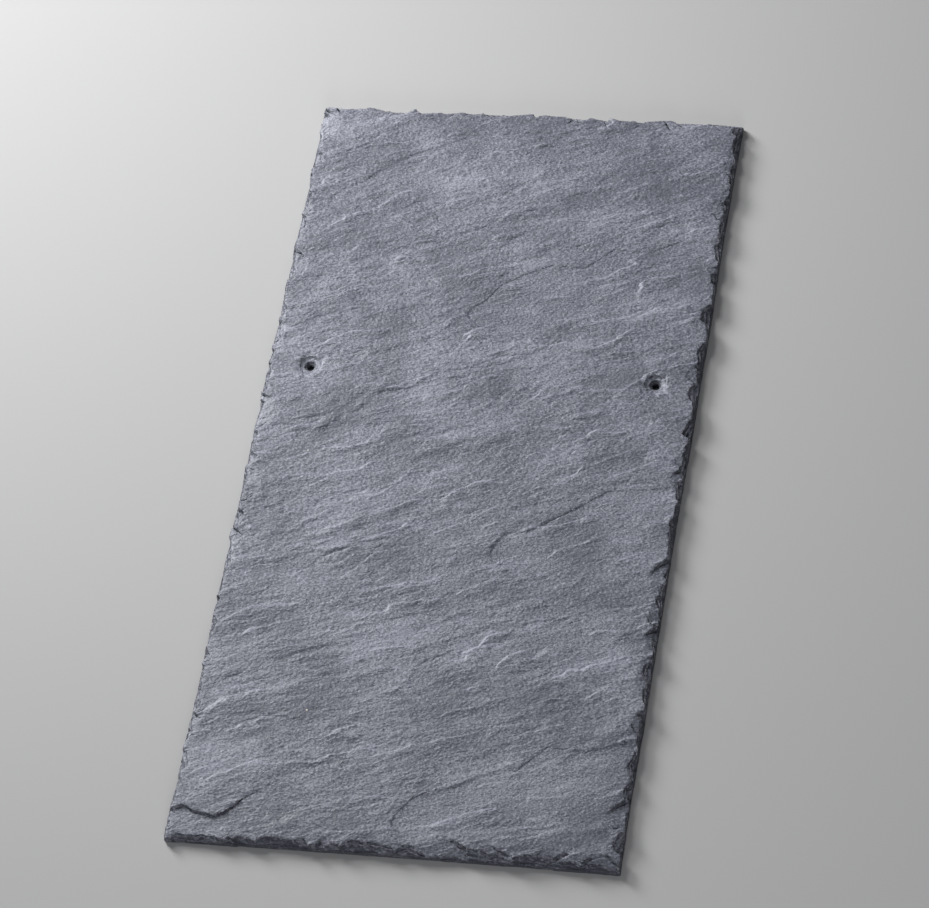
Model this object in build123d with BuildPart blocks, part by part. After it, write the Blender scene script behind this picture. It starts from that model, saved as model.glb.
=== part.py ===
"""A natural roofing slate: one riven plate of stone, dressed by hand on all sides and holed for two nails.

It lies on its bed with its exposed face up. X runs across it, +Y points up the roof, from the tail to the
head, and the origin is in the middle of the bed. Every size is in millimetres.
"""

from build123d import *
from math import atan2, cos, hypot, pi, radians, sin, tan
from random import Random
import os

# The format, and how it is laid
slate_length = 500.0
slate_width = 250.0
slate_thickness = 7.5
head_lap = 100.0

# Nail holes, punched through from the bed, so that the face spalls into a seat for the nail's head
nail_hole_radius = 2.25
nail_side_distance = 25.0
nail_clearance = 12.0
nail_seat_radius = 6.5
nail_seat_angle = 125.0

# Dressing: the knife shears a lip beside the bed, in straight strokes, and throws flakes off the face
lip_height = 2.0
stroke_length = 44.0
stroke_stray = 0.9

# The tail is dressed roughest: breaks at the other sides reach less far in, by these
long_side_setback = 2.0
head_setback = 1.0

# Steep facets down to the lip: reach in from the side, width along it, most turn in plan, and pitch
facet_reach = 4.8
facet_width = 21.0
facet_turn = 16.0
facet_pitch = 19.0

# Chips between them, with a drop of their own at the side
chip_reach = 7.5
chip_width = 13.0
chip_drop = 3.8
chip_turn = 34.0
chip_pitch = 27.0

# Thin flakes that run in under the face, and leave a ragged ledge
flake_reach = 13.0
flake_width = 24.0
flake_drop = 1.4
flake_turn = 40.0
flake_pitch = 52.0

# Shell-shaped scoops
scoop_reach = 5.5
scoop_width = 20.0
scoop_drop = 3.8
scoop_pitch = 41.0

# Spalls, where more broke away than the slater meant: distance along the side, reach, width, drop and turn
tail_spalls = [
    (84, 19, 40, 1.3, -12),
    (146, 13, 42, 4.6, 14),
    (172, 9, 14, 3.6, 30),
    (188, 8, 15, 3.4, -25),
    (206, 9, 17, 3.2, 30),
    (223, 11, 19, 3.6, -20),
    (241, 12, 16, 4.2, 25),
]
right_spalls = [
    (35, 19, 15, 3.0, 32),
    (63, 8, 10, 2.4, 25),
    (90, 9, 12, 2.4, -22),
    (145, 10, 12, 3.0, 30),
    (160, 11, 15, 2.8, -25),
    (187, 15, 16, 3.0, 36),
]
left_spalls = [(98, 5, 11, 2.0, 20), (257, 8, 15, 2.4, -22), (382, 6, 12, 1.9, 18)]

# The large flake gone from the tail's left corner: its ragged step, and the line where it ran out into the
# face, both measured from that corner
corner_flake_drop = 2.6
corner_flake_step = [(-5, 16), (0, 17), (8, 20), (14, 17), (26, 14), (33, 19), (40, 27), (48, 33)]
corner_flake_end = [(56, 38), (84, 6)]

# Cleavage: the face split along more than one leaf of the rock, and steps show where a leaf came away
grain_angle = 18.0
leaf_depth = 0.45
leaf_length = 190.0
leaf_width = 46.0
leaf_pitch = 83.0
leaf_points = 31
leaf_raggedness = 0.25

# How uneven the hand is, as a share of what it makes
unevenness = 0.35
ragged_teeth = 6
ragged_taper = 0.88
ragged_ends = 3

# Each break is cut straight up from its floor, so that no crumb stays hanging over it, and on past the stone
straight_up = (0, 0, 1)
run_out = 30.0

# The balls that scoop lie with their poles level, so that no pole or seam comes out on the stone
lying = (90, 0, 0)

half_width = slate_width / 2
half_length = slate_length / 2
face_level = slate_thickness


class Side:
    """One dressed side: a straight line from corner to corner, with the slate on its left."""

    def __init__(self, start, end, setback):
        self.start = Vector(*start)
        self.end = Vector(*end)
        self.setback = setback
        self.length = (self.end - self.start).length
        self.along = (self.end - self.start).normalized()
        self.across = self.along.rotate(Axis.Z, 90)

    def spot(self, distance, inwards=0.0, height=0.0):
        """The point at a distance along the side, so far in from it and so high above the bed."""
        plan = self.start + self.along * distance + self.across * inwards
        return Vector(plan.X, plan.Y, height)

    def pitches(self, pitch):
        """Distances along the side, about a pitch apart."""
        count = max(2, round(self.length / pitch))
        step = self.length / count
        return [(n + 0.5 + luck.uniform(-unevenness, unevenness)) * step for n in range(count)]

    def break_plane(self, distance, reach, width, drop, turn):
        """The floor of a break: it rises inwards to the face, turned in plan, from its drop at the lowest."""
        outwards = (self.across * -1).rotate(Axis.Z, turn)
        slope = atan2(drop, reach)
        normal = outwards * sin(slope) + Vector(0, 0, cos(slope))
        rise = width / 2 * abs(sin(radians(turn))) * tan(slope)
        foot = self.spot(distance, height=face_level - drop + rise)
        return Plane(foot, x_dir=outwards.rotate(Axis.Z, 90), z_dir=normal)

    def break_planes(self, reach, width, drop, turn, pitch):
        """The floors of one kind of break, about a pitch apart along the side."""
        return [
            self.break_plane(distance, about(reach - self.setback), width, drop, luck.uniform(-turn, turn))
            for distance in self.pitches(pitch)
        ]


luck = Random(11)
tail = Side((-half_width, -half_length), (half_width, -half_length), 0)
right = Side((half_width, -half_length), (half_width, half_length), long_side_setback)
head = Side((half_width, half_length), (-half_width, half_length), head_setback)
left = Side((-half_width, half_length), (-half_width, -half_length), long_side_setback)
sides = [tail, right, head, left]


def about(size):
    """A size as the hand makes it, a little over or under."""
    return size * luck.uniform(1 - unevenness, 1 + unevenness)


def stroke_ends(side):
    """The corners of the sheared lip along one side: each stroke of the knife strays a little inwards."""
    strokes = max(2, round(side.length / stroke_length))
    step = side.length / strokes
    return [side.start] + [side.spot(n * step, stroke_stray * luck.random()) for n in range(1, strokes)]


def ragged_end(reach, width, drop):
    """The outline of a break on its own floor: a shell's curve inwards, ragged where it stops."""
    teeth = []
    for n in range(ragged_teeth + 1):
        across = 2 * n / ragged_teeth - 1
        teeth.append((across * width / 2, about(hypot(reach, drop)) * (1 - ragged_taper * across**2)))
    return [(-width / 2, -run_out)] + teeth + [(width / 2, -run_out)]


def shell(reach, width, drop):
    """The ball that leaves such a shell at a side: its radius, and how far in and up its middle is."""
    half_chord = width / 2
    face_radius = (reach + half_chord**2 / reach) / 2
    inwards = reach - face_radius
    above_face = (half_chord**2 - drop**2) / (2 * drop)
    return hypot(face_radius, above_face), inwards, face_level + above_face


def leaf_outline(middle):
    """A long ragged lens along the grain: a leaf of rock that stayed behind on the next slate."""
    around = []
    for n in range(leaf_points):
        angle = 2 * pi * n / leaf_points
        swell = luck.uniform(1 - leaf_raggedness, 1 + leaf_raggedness)
        lens = Vector(leaf_length / 2 * cos(angle), leaf_width / 2 * sin(angle) * swell)
        around.append(middle + lens.rotate(Axis.Z, grain_angle))
    return around


def leaf_middles():
    """Where the leaves lie: about a pitch apart from tail to head, to one side or the other."""
    count = max(2, round(slate_length / leaf_pitch))
    step = slate_length / count
    found = []
    for n in range(count):
        up = (n + 0.5 + luck.uniform(-unevenness, unevenness) / 2) * step - half_length
        found.append(Vector(luck.uniform(-half_width, half_width), up))
    return found


with BuildPart() as slate:
    # The sheared blank
    with BuildSketch():
        with BuildLine():
            Polyline([point for side in sides for point in stroke_ends(side)], close=True)
        make_face()
    extrude(amount=slate_thickness)

    # Nail holes, a clearance above the head of the slates in the course below
    gauge = (slate_length - head_lap) / 2
    nail_line = gauge + head_lap + nail_clearance - half_length
    nail_offset = half_width - nail_side_distance
    with Locations((-nail_offset, nail_line, face_level), (nail_offset, nail_line, face_level)):
        CounterSinkHole(nail_hole_radius, nail_seat_radius, counter_sink_angle=nail_seat_angle)

    # The corner flake: its floor rises from the corner to a line where it runs out into the face
    corner = tail.spot(0, height=face_level)
    deepest = tail.spot(0, height=face_level - corner_flake_drop)
    step = [corner + Vector(*point) for point in corner_flake_step]
    run_out_line = [corner + Vector(*point) for point in corner_flake_end]
    uphill = (run_out_line[1] - deepest).cross(run_out_line[0] - deepest)
    floor = Plane(deepest, x_dir=run_out_line[1] - deepest, z_dir=uphill)
    off_tail = [run_out_line[1] + Vector(0, -run_out), corner + Vector(-run_out, -run_out)]
    outline = [floor.to_local_coords(point) for point in step + run_out_line + off_tail]
    with BuildSketch(floor):
        with BuildLine():
            Polyline([(point.X, point.Y) for point in outline], close=True)
        make_face()
    extrude(amount=run_out, dir=straight_up, mode=Mode.SUBTRACT)

    # Spalls
    for side, spalls in ((tail, tail_spalls), (right, right_spalls), (left, left_spalls)):
        for distance, reach, width, drop, turn in spalls:
            with BuildSketch(side.break_plane(distance, reach, width, drop, turn)):
                with BuildLine():
                    Polyline(ragged_end(reach, width, drop), close=True)
                make_face()
            extrude(amount=run_out, dir=straight_up, mode=Mode.SUBTRACT)

    # Scoops all round
    ball_radius, inwards, height = shell(scoop_reach, scoop_width, scoop_drop)
    middles = [
        side.spot(distance, inwards - side.setback, height)
        for side in sides
        for distance in side.pitches(scoop_pitch)
    ]
    with Locations(*middles):
        Sphere(ball_radius, rotation=lying, mode=Mode.SUBTRACT)

    # Facets, chips and thin flakes all round, with a few ragged ends of each kind in turn
    facets = (facet_reach, facet_width, face_level - lip_height, facet_turn, facet_pitch)
    chips = (chip_reach, chip_width, chip_drop, chip_turn, chip_pitch)
    flakes = (flake_reach, flake_width, flake_drop, flake_turn, flake_pitch)
    for kind in (facets, chips, flakes):
        floors = [floor for side in sides for floor in side.break_planes(*kind)]
        for first in range(ragged_ends):
            with BuildSketch(*floors[first::ragged_ends]):
                with BuildLine():
                    Polyline(ragged_end(*kind[:3]), close=True)
                make_face()
            extrude(amount=run_out, dir=straight_up, mode=Mode.SUBTRACT)

    # Leaves missing from the face, every second one only part of the way down
    middles = leaf_middles()
    for first, depth in ((0, leaf_depth), (1, leaf_depth * (1 - unevenness))):
        with BuildSketch(Plane.XY.offset(face_level)):
            for middle in middles[first::2]:
                with BuildLine():
                    Polyline(leaf_outline(middle), close=True)
                make_face()
        extrude(amount=-depth, mode=Mode.SUBTRACT)

slate.part.label = "slate"
os.makedirs("parts", exist_ok=True)
export_step(slate.part, "parts/slate.step")
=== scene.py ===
# %% [markdown]
# # A roofing slate, riven and dressed by hand
#
# This slate is one piece of stone. A splitter opened the block along its cleavage, so both broad faces are
# riven, and a slater then sheared the four sides from the back, which threw flakes off the exposed face.
# The packed frame already holds the plate at its real size, with its two nail holes, the flakes gone from
# its sides and the largest steps of its face. What is left for this lesson is everything that a splitter's
# chisel leaves on stone: thin leaves that end in ragged steps, ripples along the grain, crumbling layers at
# the broken sides, and the blue-grey, faintly satin look of the rock.

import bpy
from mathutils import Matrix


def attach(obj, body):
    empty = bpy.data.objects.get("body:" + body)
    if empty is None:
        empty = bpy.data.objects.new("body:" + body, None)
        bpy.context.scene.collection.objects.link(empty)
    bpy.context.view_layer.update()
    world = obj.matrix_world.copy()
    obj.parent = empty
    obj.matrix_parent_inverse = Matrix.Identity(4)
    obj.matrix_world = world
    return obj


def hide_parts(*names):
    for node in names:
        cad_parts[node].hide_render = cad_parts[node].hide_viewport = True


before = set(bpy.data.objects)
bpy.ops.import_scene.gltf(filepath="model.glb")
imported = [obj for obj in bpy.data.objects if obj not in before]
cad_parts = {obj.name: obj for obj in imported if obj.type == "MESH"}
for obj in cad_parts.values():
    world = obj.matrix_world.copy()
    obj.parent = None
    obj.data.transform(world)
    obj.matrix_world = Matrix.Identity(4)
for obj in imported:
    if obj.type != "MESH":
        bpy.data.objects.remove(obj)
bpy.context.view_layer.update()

# %% [markdown]
# ## Sums of sockets
#
# The relief of the face and the colour of the stone follow the same grain, so both are worked out by the same
# sums, once in the nodes that move the mesh and once in the nodes of the material. Wiring such sums by hand
# takes a node for every plus sign. Here a small class wraps one socket, and Python's own operators add the
# Math nodes, so a sum can be read as a sum. It works in both kinds of node tree, as they share these nodes.

# %% A socket that can be added and multiplied
import bpy


class Sum:
    """One socket of a node tree, with Python's operators."""

    def __init__(self, tree, socket):
        self.tree = tree
        self.socket = socket

    def node(self, kind, settings=None, values=None, output=0):
        """A new node of a kind, with its settings made first and then its sockets' values or links."""
        made = self.tree.nodes.new(kind)
        for name, setting in (settings or {}).items():
            setattr(made, name, setting)
        for name, value in (values or {}).items():
            shown = [socket for socket in made.inputs if socket.enabled]
            target = shown[name] if isinstance(name, int) else next(s for s in shown if s.name == name)
            if isinstance(value, Sum):
                self.tree.links.new(value.socket, target)
            else:
                target.default_value = value
        return Sum(self.tree, [socket for socket in made.outputs if socket.enabled][output])

    def maths(self, operation, *others):
        """One Math node, with this socket first."""
        return self.node("ShaderNodeMath", {"operation": operation}, dict(enumerate((self, *others))))

    def __add__(self, other):
        return self.maths("ADD", other)

    def __mul__(self, other):
        return self.maths("MULTIPLY", other)

    def __sub__(self, other):
        return self.maths("SUBTRACT", other)

    def __truediv__(self, other):
        return self.maths("DIVIDE", other)

    def __rsub__(self, other):
        return self.maths("MULTIPLY", -1.0).maths("ADD", other)

    __radd__ = __add__
    __rmul__ = __mul__

    def ramp(self, low, high, start=0.0, end=1.0):
        """From start to end, smoothly, as the value goes from low to high."""
        values = {0: self, 1: low, 2: high, 3: start, 4: end}
        return self.node("ShaderNodeMapRange", {"interpolation_type": "SMOOTHSTEP"}, values)

    def parts(self):
        """The x, y and z of a place."""
        return [self.node("ShaderNodeSeparateXYZ", values={0: self}, output=axis) for axis in range(3)]

    def place(self, x, y, z):
        """The place with these three parts, each a socket or a number."""
        return self.node("ShaderNodeCombineXYZ", values={0: x, 1: y, 2: z})

    def noise(self, detail=2.0, roughness=0.5, warp=0.0):
        """Soft noise at a place, with waves of about one unit, around zero and seldom past a half."""
        values = {"Vector": self, "Scale": 1.0, "Detail": detail, "Roughness": roughness, "Distortion": warp}
        return self.node("ShaderNodeTexNoise", {"noise_dimensions": "3D"}, values) - 0.5


print("operators ready:", [name for name in vars(Sum) if name.startswith("__")][3:])

# %% [markdown]
# ## Places along the grain
#
# Cleavage isn't the same in all directions. The minerals of the rock lie stretched along one line, the grain,
# so every leaf, ripple and streak is drawn out along it. In the exposed face it runs up to the right, at a
# flat angle to the tail. So each pattern below is looked up at a place measured along and across the grain,
# with one length for a wave along it and a shorter one across it. All sizes in these sums are millimetres.

# %% Along and across
from math import acos, cos, degrees, radians, sin

grain_angle = radians(18)
millimetres = 1000.0


def across_grain(x, y):
    """How far a point lies across the grain, towards the head."""
    return y * cos(grain_angle) - x * sin(grain_angle)


def along_grain(x, y, length, width, seed=0.0):
    """The place to look a pattern up, for waves of a length along the grain and a width across it."""
    along = x * cos(grain_angle) + y * sin(grain_angle)
    return x.place(along / length + seed, across_grain(x, y) / width, 0.0)


def in_lumps(x, y, z, length, width, height):
    """The place to look a pattern up, for lumps of such a size that don't follow the grain."""
    return x.place(x / length, y / width, z / height)


print("grain runs", round(degrees(grain_angle)), "degrees up from the tail")

# %% [markdown]
# ## Leaves
#
# A riven face is seldom one single leaf of rock. It wanders slowly up and down through the stack, and each
# time it crosses from one leaf to the next it leaves a low ragged step. One way to make this would be to draw
# every step. Here the wandering is soft noise, drawn out along the grain, and the steps come by themselves
# when the height is rounded to whole leaves, as the contour lines of a map do. Rounding with a steep ramp
# rather than a jump keeps a wall under each step for the light to catch.

# %% Rounding a height to whole leaves
wander = 1.0
wander_length = 88.0
wander_width = 26.0
leaf_thickness = 0.3
step_share = 0.16


def wandering(x, y, seed=0.0):
    """How far the split strays from the level it set out on."""
    place = along_grain(x, y, wander_length, wander_width, seed=seed)
    return place.noise(detail=7.0, roughness=0.6, warp=0.3) * wander


def in_leaves(height, thickness, share=step_share):
    """A height rounded to whole leaves, each step a steep ramp over a share of the way to the next one."""
    count = height / thickness
    whole = count.maths("FLOOR")
    return (whole + (count - whole).ramp(1.0 - share, 1.0)) * thickness


print("a leaf is", leaf_thickness, "mm thick, and the split wanders about", wander / 2, "mm up and down")

# %% [markdown]
# ## Ripples
#
# Between the steps the face isn't smooth. The chisel opened it in small jumps, and every jump left a low
# ripple, which climbs gently towards the head and then drops at a sharp lip. In the photograph these lips are
# the bright lines, because their steep side faces the light, while the long slope behind each one stays dim.
# Plain noise can't do that, as its slopes are alike on both sides. So a ripple is a saw's tooth: the distance
# across the grain is counted in ripples, and the fraction left of the count climbs from nought to one and
# drops again. Noise added to the count makes the lips wave and fork, and they die out between patches. The
# sizes of the waves are counted in ripples, and the edge of a lip, where the material paints a highlight, in
# widths of its drop.

# %% Ripples with a sharp lip
lip_waves = 1.8
lip_wave_length = 3.0
lip_wave_width = 1.6
bend_length = 95.0
bend_width = 44.0
patch_edge = (-0.06, 0.14)
patch_seed = 5.0
rim_highlight_start = 1.6
rim_highlight_end = 0.6


class Ripples:
    """Ripples of one size: how far apart their lips are, how high, how steep, and how large their patches."""

    def __init__(self, spacing, height, drop, patch, seed):
        self.spacing = spacing
        self.height = height
        self.drop = drop
        self.patch = patch
        self.seed = seed

    def share(self, x, y):
        """How far across its ripple a place lies, from nought after the last lip to one at the next."""
        bend = x.place(x / bend_length, y / bend_length, self.seed).noise() * bend_width
        length = self.spacing * lip_wave_length
        width = self.spacing * lip_wave_width
        waves = along_grain(x, y, length, width, seed=self.seed).noise(detail=3.0, roughness=0.55, warp=0.1)
        count = (across_grain(x, y) + bend) / self.spacing + waves * lip_waves
        return count - count.maths("FLOOR")

    def strength(self, x, y):
        """One where these ripples stand, nought where they have died out."""
        length, width = self.patch
        place = along_grain(x, y, length, width, seed=self.seed + patch_seed)
        return place.noise(detail=5.0, roughness=0.6).ramp(*patch_edge)

    def rise(self, share, strength):
        """The height at such a share of the way across, where the ripples are so strong."""
        return (share - share.ramp(1.0 - self.drop, 1.0)) * strength * self.height

    def rim_highlight(self, share, strength):
        """One on the edge of a lip, where a highlight is painted, and nought elsewhere."""
        return share.ramp(1.0 - rim_highlight_start * self.drop, 1.0 - rim_highlight_end * self.drop) * strength


strong = Ripples(spacing=17.0, height=0.62, drop=0.05, patch=(45.0, 20.0), seed=1.7)
low = Ripples(spacing=5.6, height=0.24, drop=0.13, patch=(20.0, 11.0), seed=4.4)
finest = Ripples(spacing=2.3, height=0.09, drop=0.25, patch=(9.0, 6.0), seed=6.1)
for ripples in (strong, low, finest):
    print("lips", ripples.spacing, "mm apart, which drop", ripples.height, "mm")

# %% [markdown]
# ## Creases
#
# Under the ripples the stone swells softly, with creased crests. A crest is noise folded at its middle: the
# further the noise is from zero, the lower the stone, so it comes to a crease where the noise changes sign.

# %% Creased crests
crest = 0.4
fold = 4.0
swell_length = 34.0
swell_width = 14.0
swell_height = 0.34


def creases(place, detail, roughness):
    """Sharp crests at 0.4, and round troughs about as far below zero."""
    return crest - place.noise(detail, roughness, warp=0.15).maths("ABSOLUTE") * fold


print("swells of about", swell_height, "mm under the ripples")

# %% [markdown]
# ## Where the punch came through
#
# The slater punched the nail holes from the bed, so the point broke a ragged spall out of the face as it came
# through. The packed hole has a plain cone for it. Round that cone a shallow apron of thin leaves went too.
# Its depth falls from the hole to an edge whose distance is soft noise, and it starts outside the bore, so
# that the bore's wall stays whole.

# %% The ragged spall round a nail hole
hole_places = [(-100.0, 62.0), (100.0, 62.0)]
bore_edge = (3.0, 6.0)
spall_edge = 8.0
spall_stray = 14.0
spall_teeth = 4.5
spall_slope = 0.3


def spall_depth(x, y):
    """How deep the face has gone round the holes, past their packed seats."""
    teeth = x.place(x / spall_teeth, y / spall_teeth, 0.0).noise(detail=3.0, roughness=0.6)
    edge = teeth * spall_stray + spall_edge
    depths = []
    for hole_x, hole_y in hole_places:
        away = x.place(x - hole_x, y - hole_y, 0.0)
        distance = away.node("ShaderNodeVectorMath", {"operation": "LENGTH"}, {0: away})
        depths.append(((edge - distance) * spall_slope).maths("MAXIMUM", 0.0) * distance.ramp(*bore_edge))
    return sum(depths)


print("spalls about", spall_edge, "mm out from", len(hole_places), "holes")

# %% [markdown]
# ## Fine stone to shape
#
# The packed plate is a few thousand long triangles, too coarse to move about. A copy of it is merged, because
# the frame's own mesh is loose triangles, and then laid over with small squares of one size by a voxel
# remesh, which keeps the flakes and holes. Subdividing would have followed the long triangles instead, and
# left slivers along every facet.

# %% A merged copy
import bmesh

one_corner = 1e-6


def in_scene(name, data):
    """A new object, placed in the scene."""
    made = bpy.data.objects.new(name, data)
    bpy.context.scene.collection.objects.link(made)
    return made


shape = bmesh.new()
shape.from_mesh(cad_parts["slate"].data)
bmesh.ops.remove_doubles(shape, verts=shape.verts[:], dist=one_corner)
mesh = bpy.data.meshes.new("riven slate")
shape.to_mesh(mesh)
print("merged to", len(shape.verts), "corners and", len(shape.faces), "triangles")
shape.free()
slate = in_scene("riven_slate", mesh)

# %% Small squares
square = 0.0006
remesh = slate.modifiers.new("small squares", "REMESH")
remesh.mode = "VOXEL"
remesh.voxel_size = square
print("laid over with squares of", square * millimetres, "mm")

# %% [markdown]
# ## Moving the stone
#
# The nodes below move each point of the mesh. Points that face up, on the exposed face and on the broken
# sides, move up or down to their leaf. Where a side is broken at a slope the leaves are cut across, and they
# show as crumbling stairs, so there the leaves are thicker and the wander is short. The sheared lip beside
# the bed faces sideways, and is pushed in and out in thin layers. The bed was riven too, but it is what the
# slate lies on, so it is only ever hollowed, and its plane stays where the frame has it.

# %% Which way each point of the stone faces
relief = bpy.data.node_groups.new("riven relief", "GeometryNodeTree")
relief.interface.new_socket("Geometry", in_out="INPUT", socket_type="NodeSocketGeometry")
relief.interface.new_socket("Geometry", in_out="OUTPUT", socket_type="NodeSocketGeometry")
stone = Sum(relief, relief.nodes.new("NodeGroupInput").outputs[0])
x, y, z = [part * millimetres for part in stone.node("GeometryNodeInputPosition").parts()]
out_x, out_y, out_z = stone.node("GeometryNodeInputNormal").parts()

up_from = (0.05, 0.35)
down_from = (-0.6, -0.95)
broken_from = (0.97, 0.80)
facing_up = out_z.ramp(*up_from)
facing_down = out_z.ramp(*down_from)
sideways = (1.0 - facing_up) * (1.0 - facing_down)
broken = out_z.ramp(*broken_from) * facing_up
print("facing is worked out with", len(relief.nodes), "nodes")

# %% The exposed face
split = in_leaves(z + wandering(x, y), leaf_thickness) - z - spall_depth(x, y)
swell_place = along_grain(x, y, swell_length, swell_width, seed=3.1)
face_rise = split + creases(swell_place, detail=5.0, roughness=0.65) * swell_height
for ripples in (strong, low):
    face_rise = face_rise + ripples.rise(ripples.share(x, y), ripples.strength(x, y))
print("the face takes the tree to", len(relief.nodes), "nodes")

# %% The broken sides
stair_height = 1.5
stair_share = 0.3
stair_wander = 3.0
stair_length = 8.0
stair_depth = 5.0
crumb_height = 1.5
crumb_length = 3.4
crumb_depth = 2.6
stair_place = in_lumps(x, y, z, stair_length, stair_length, stair_depth)
ragged = stair_place.noise(detail=5.0, roughness=0.65) * stair_wander
stairs = in_leaves(z + ragged, stair_height, stair_share) - ragged - z
crumb_place = in_lumps(x, y, z, crumb_length, crumb_length, crumb_depth)
crumbling = crumb_place.noise(detail=2.5, roughness=0.6) * crumb_height
print("stairs of", stair_height, "mm down the broken sides, with crumbs of", crumb_height / 2, "mm on them")

# %% The sheared lip and the bed
layer_depth = 1.5
layer_length = 7.0
layer_height = 0.8
bed_wander = 2.0
layer_place = in_lumps(x, y, z, layer_length, layer_length, layer_height)
push = layer_place.noise(detail=4.0, roughness=0.65) * layer_depth * sideways
hollow = in_leaves(wandering(x, y, seed=21.0) * bed_wander, leaf_thickness).maths("MAXIMUM", 0.0)
print("the lip's layers go in and out by", layer_depth / 2, "mm, and the bed loses leaves of", leaf_thickness)

# %% Moving every point
rise = facing_up * (broken * (stairs + crumbling) + (1.0 - broken) * face_rise) + facing_down * hollow
shift = x.place(out_x * push, out_y * push, rise)
in_metres = stone.node("ShaderNodeVectorMath", {"operation": "SCALE"}, {0: shift, "Scale": 1.0 / millimetres})
moved = stone.node("GeometryNodeSetPosition", values={"Geometry": stone, "Offset": in_metres})
relief.links.new(moved.socket, relief.nodes.new("NodeGroupOutput").inputs[0])
riving = slate.modifiers.new("riving", "NODES")
riving.node_group = relief
print("the relief is", len(relief.nodes), "nodes")

# %% [markdown]
# ## Only as many triangles as the stone needs
#
# Small squares all over come to far more triangles than the shape needs, most of them on the flat of the bed.
# A collapse keeps the arrises and steps and thins the level parts. The result is made the piece's own mesh.
# The large triangles that are left on the level parts would be shaded as if they bent towards their small
# neighbours, so the normals are then weighed by area, and a large triangle stays flat.

# %% Thinning the mesh
most_triangles = 190000
arris_angle = radians(50)
graph = bpy.context.evaluated_depsgraph_get()
fine = slate.evaluated_get(graph).to_mesh()
fine_triangles = 2 * len(fine.polygons)
thinning = slate.modifiers.new("thinning", "DECIMATE")
thinning.ratio = most_triangles / fine_triangles
thinning.use_collapse_triangulate = True
finished = bpy.data.meshes.new_from_object(slate.evaluated_get(bpy.context.evaluated_depsgraph_get()))
slate.modifiers.clear()
slate.data = finished
finished.shade_smooth()
finished.set_sharp_from_angle(angle=arris_angle)
weighing = slate.modifiers.new("large faces stay flat", "WEIGHTED_NORMAL")
weighing.keep_sharp = True
print("from", fine_triangles, "triangles to", len(finished.polygons))

# %% [markdown]
# ## The look of the rock
#
# Slate is fine clay pressed to stone. Its colour is a blue-grey that changes little, in long soft streaks
# along the grain and larger, weaker clouds. The rims of the lips are painted paler, a painted highlight where
# their crests catch the light, and the ends of the layers in a broken side are paler and darker by turns.
# Fresh cleavage has a satin gloss, from mica lying flat in it. All of that is worked out from the place on
# the object, so no picture is needed, and the rims come from the same ripples that shaped the mesh, so that
# they lie on its lips. The normal that tells a broken side from a face is the object's own, so the stone
# looks the same however it is turned.

# %% The material, and the place on the object
finish = bpy.data.materials.new("riven slate")
finish.use_nodes = True
tree = finish.node_tree
shader = tree.nodes["Principled BSDF"]
coordinates = tree.nodes.new("ShaderNodeTexCoord")
spot = Sum(tree, coordinates.outputs["Object"])
spot_x, spot_y, spot_z = [part * millimetres for part in spot.parts()]
side_from = (0.94, 0.75)
levelness = Sum(tree, coordinates.outputs["Normal"]).parts()[2].maths("ABSOLUTE")
side = levelness.ramp(*side_from)
print("stone tilted past", round(degrees(acos(side_from[1]))), "degrees is finished as a broken side")

# %% The ripples again, for the material
here = {}
for name, ripples in (("strong", strong), ("low", low), ("finest", finest)):
    here[name] = (ripples.share(spot_x, spot_y), ripples.strength(spot_x, spot_y))
low_highlight_share = 0.6
# Painted highlight: the rims of the lips, whose crests catch the light, are made paler in the colour below.
rim_highlights = strong.rim_highlight(*here["strong"]) + low.rim_highlight(*here["low"]) * low_highlight_share
print("ripples for the material:", ", ".join(here))

# %% [markdown]
# ## Relief too fine for the mesh
#
# The thinnest leaves, of a tenth of a millimetre, the finest ripples and the grit of the stone are too fine
# for the squares of the mesh. They go into a bump, which only tilts the light, with a share of the larger
# ripples to crisp their lips. On the broken sides the face's grain gives way to the ends of the layers, which
# run level round the slate. All heights here are in millimetres too, so the bump's distance is one of them.

# %% Fine relief
thin_leaf = 0.1
thin_step_share = 0.25
thin_wander = 0.6
hair_height = 0.075
crisp_share = 0.4
layer_end_height = 4.0
grit_height = 0.38
thin_place = along_grain(spot_x, spot_y, length=22.0, width=9.0, seed=11.0)
thin_rise = thin_place.noise(detail=4.0, roughness=0.6, warp=0.3) * thin_wander
thin_split = in_leaves(thin_rise, thin_leaf, thin_step_share)
hair_place = along_grain(spot_x, spot_y, length=4.6, width=2.2, seed=5.0)
hairs = creases(hair_place, detail=1.5, roughness=0.5) * hair_height
larger = strong.rise(*here["strong"]) + low.rise(*here["low"])
crisp = larger * crisp_share + finest.rise(*here["finest"])
layer_ends_place = in_lumps(spot_x, spot_y, spot_z, length=9.0, width=9.0, height=0.9)
layer_ends = layer_ends_place.noise(detail=4.0, roughness=0.7)
grit_place = in_lumps(spot_x, spot_y, spot_z, length=1.9, width=1.6, height=1.6)
grit = grit_place.noise(detail=1.0, roughness=0.5) * grit_height
on_face = (thin_split + hairs + crisp) * (1.0 - side)
fine_height = on_face + layer_ends * side * layer_end_height + grit
bump_values = {"Strength": 1.0, "Distance": 1.0 / millimetres, "Height": fine_height}
bump = spot.node("ShaderNodeBump", values=bump_values)
tree.links.new(bump.socket, shader.inputs["Normal"])
print("fine relief takes the material to", len(tree.nodes), "nodes")
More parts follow.
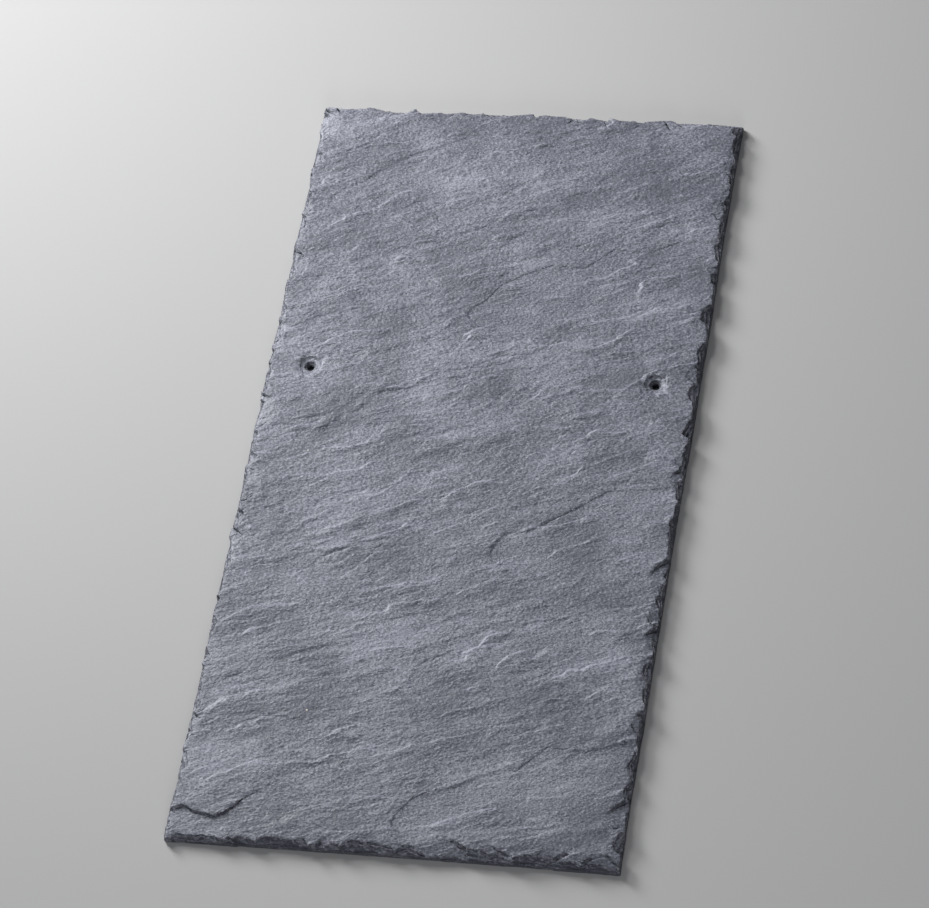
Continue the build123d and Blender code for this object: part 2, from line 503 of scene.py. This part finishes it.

# %% [markdown]
# ## Paler and darker stone
#
# Everything that makes the stone paler is added up to one amount, so that a single mix of two greys colours
# it all and stays within them. On the face these are the streaks, the clouds, the glint of the mica, a
# painted highlight on the rims of the lips, and the spalls round the holes. On the broken sides they are the
# ends of the layers and the crumbs along the upper arris. The crumbs are paler as bruised stone and as
# painted highlights, and they grow paler towards the top of the side, which is painted light there and
# painted shade lower down.

# %% The patterns
streak_place = along_grain(spot_x, spot_y, length=60.0, width=14.0, seed=2.0)
streaks = streak_place.noise(detail=4.0, roughness=0.6)
cloud_size = 45.0
cloud_place = spot.place(spot_x / cloud_size, spot_y / cloud_size, 4.0)
clouds = cloud_place.noise(detail=3.0, roughness=0.55)
mica_place = in_lumps(spot_x, spot_y, spot_z, length=1.3, width=1.0, height=1.0)
mica = mica_place.noise(detail=1.5, roughness=0.6)
# Painted light and shade: the broken sides are paler towards their top, where the light falls, and darker
# below. Bruised stone there is paler too.
bruised_and_lit_top = spot_z.ramp(low=2.5, high=6.5)
# Painted highlights: paler crumbs, where they catch the light.
crumb_highlight_place = in_lumps(spot_x, spot_y, spot_z, length=2.6, width=2.6, height=1.8)
crumb_highlights = crumb_highlight_place.noise(detail=2.5, roughness=0.6).ramp(low=0.0, high=0.12)
spalled = spall_depth(spot_x, spot_y).ramp(low=0.0, high=0.8)
print("the patterns take the material to", len(tree.nodes), "nodes")

# %% How much paler each makes the stone
streaks_paler = 0.8
clouds_paler = 1.2
mica_paler = 1.9
rim_highlights_paler = 0.35
spalls_paler = 0.25
layers_paler = 3.0
crumb_highlights_paler = 1.9
sides_darker = 0.15
# On the sides the crumbs are painted highlights, which grow paler towards the top as painted light.
on_sides = (layer_ends * layers_paler + bruised_and_lit_top * crumb_highlights * crumb_highlights_paler - sides_darker) * side
# A painted highlight along the lips of the face.
painted_rim_highlights = rim_highlights * (1.0 - side) * rim_highlights_paler
broad = streaks * streaks_paler + clouds * clouds_paler
paler = broad + mica * mica_paler + painted_rim_highlights + spalled * spalls_paler + on_sides
print("added up with", len(tree.nodes), "nodes")

# %% [markdown]
# ## The two greys, and the cream grains
#
# Both greys lean to blue. Here and there a cream grain sits in the stone, no wider than a pinhead. Points are
# scattered over the slate for them, and the distance to the nearest point makes a round grain there. A lot is
# drawn for each point, from its place, and leaves only a few of the grains.

# %% Colour
darkest = -0.35
palest = 0.65
dark_stone = (0.100, 0.106, 0.138, 1.0)
pale_stone = (0.315, 0.327, 0.390, 1.0)
cream_grain = (0.70, 0.66, 0.56, 1.0)
grain_apart = 15.0
grain_size = (0.7, 0.35)
grain_lot = (0.96, 0.97)


def mixed(share, first, second):
    """A colour between two others."""
    values = {"Factor": share, "A": first, "B": second}
    return spot.node("ShaderNodeMix", {"data_type": "RGBA"}, values)


base = mixed(paler.ramp(darkest, palest), dark_stone, pale_stone)
in_space = {"voronoi_dimensions": "3D"}
cell = {"Vector": spot.place(spot_x / grain_apart, spot_y / grain_apart, 0.0), "Scale": 1.0}
grain_distance = spot.node("ShaderNodeTexVoronoi", in_space, cell) * grain_apart
lot = spot.node("ShaderNodeTexVoronoi", in_space, cell, output=1).parts()[0]
grain = grain_distance.ramp(*grain_size) * lot.ramp(*grain_lot)
speckled = mixed(grain, base, cream_grain)
tree.links.new(speckled.socket, shader.inputs["Base Color"])
print("cream grains in cells of", grain_apart, "mm, one cell in", round(1 / (1 - grain_lot[0])))

# %% [markdown]
# ## The satin gloss
#
# Mica makes fresh cleavage shine like satin, where it lies flat, and it is a little duller in the paler
# streaks and grains. So the roughness goes up and down with the same streaks and mica as the colour.

# %% Gloss
satin = 0.50
duller = 0.60
gloss = (streaks + mica).ramp(low=-0.2, high=0.2, start=satin, end=duller)
tree.links.new(gloss.socket, shader.inputs["Roughness"])
slate.data.materials.clear()
slate.data.materials.append(finish)
print("the finish takes", len(tree.nodes), "nodes in all")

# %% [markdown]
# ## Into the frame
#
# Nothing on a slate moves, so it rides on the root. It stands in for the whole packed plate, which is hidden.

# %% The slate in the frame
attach(slate, "root")
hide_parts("slate")
print("the finished slate takes the place of the packed one")

# %% [markdown]
# ## Floor, light and camera
#
# The slate lies on a plain pale floor. A soft lamp stands low beyond its upper left, so that it grazes the
# face and draws every lip. A second one hangs higher on that side, near where the camera would see it
# mirrored, so the face takes a satin sheen that fades to the right. A weak one in front keeps the broken tail
# from going black, and the world fills the shadows. The camera looks down on the slate as one would on a
# roof, from a little to the right of the tail and slightly tilted, with a long lens. Each lamp has a grid of
# slats before it, as in a studio, so that it doesn't burn out the floor close beneath it. The floor is matt.

# %% The floor
half_floor = 4.0
floor_shape = bmesh.new()
bmesh.ops.create_grid(floor_shape, x_segments=1, y_segments=1, size=half_floor)
floor_mesh = bpy.data.meshes.new("floor")
floor_shape.to_mesh(floor_mesh)
floor_shape.free()
floor = in_scene("floor", floor_mesh)
pale = bpy.data.materials.new("pale floor")
pale.use_nodes = True
matt = pale.node_tree.nodes["Principled BSDF"].inputs
matt["Base Color"].default_value = (0.52, 0.52, 0.52, 1.0)
matt["Roughness"].default_value = 1.0
matt["Specular IOR Level"].default_value = 0.0
floor.data.materials.append(pale)
print("floor", [round(side_length, 1) for side_length in floor.dimensions[:2]], "m across")

# %% The lamps and the world
from mathutils import Matrix, Vector


def soft_lamp(name, place, size, spread, watts):
    """A round lamp at a place, turned to the middle of the slate, whose grid lets a spread in degrees out."""
    lamp = in_scene(name, bpy.data.lights.new(name, "AREA"))
    lamp.data.shape = "DISK"
    lamp.data.size = size
    lamp.data.spread = radians(spread)
    lamp.data.energy = watts
    lamp.location = place
    lamp.rotation_euler = Vector(place).to_track_quat("Z", "Y").to_euler()
    print(name, "stands", round(Vector(place).length, 2), "m off with", watts, "W")


soft_lamp("window", place=(-1.15, 0.93, 0.66), size=0.55, spread=118.0, watts=12.4)
soft_lamp("high window", place=(-0.66, 0.70, 0.98), size=0.6, spread=120.0, watts=3.4)
soft_lamp("low window", place=(0.3, -1.6, 0.62), size=0.7, spread=118.0, watts=3.5)
world = bpy.data.worlds.new("room")
world.use_nodes = True
room_light = world.node_tree.nodes["Background"].inputs
room_light["Color"].default_value = (0.62, 0.64, 0.68, 1.0)
room_light["Strength"].default_value = 0.15
bpy.context.scene.world = world

# %% The camera
looking_down = radians(54.7)
round_right = radians(20.6)
tilt = radians(-13.7)
distance = 2.83
lift = 0.004
up_in_picture = 0.008
long_lens = 195.6
camera = in_scene("camera", bpy.data.cameras.new("camera"))
camera.data.lens = long_lens
camera.data.sensor_width = 36.0
across_floor = Vector((sin(round_right), -cos(round_right), 0.0))
back = across_floor * cos(looking_down) + Vector((0.0, 0.0, sin(looking_down)))
level_right = Vector((cos(round_right), sin(round_right), 0.0))
right = level_right * cos(tilt) + back.cross(level_right) * sin(tilt)
up = back.cross(right)
eye = back * distance + Vector((0.0, 0.0, lift)) + up * up_in_picture
camera.matrix_world = Matrix.Translation(eye) @ Matrix((right, up, back)).transposed().to_4x4()
bpy.context.scene.camera = camera
bpy.context.scene.view_settings.view_transform = "Standard"
print("the camera is at", [round(part, 2) for part in eye])

# %% [markdown]
# ## The sizes
#
# Riving mustn't change the size of the slate.
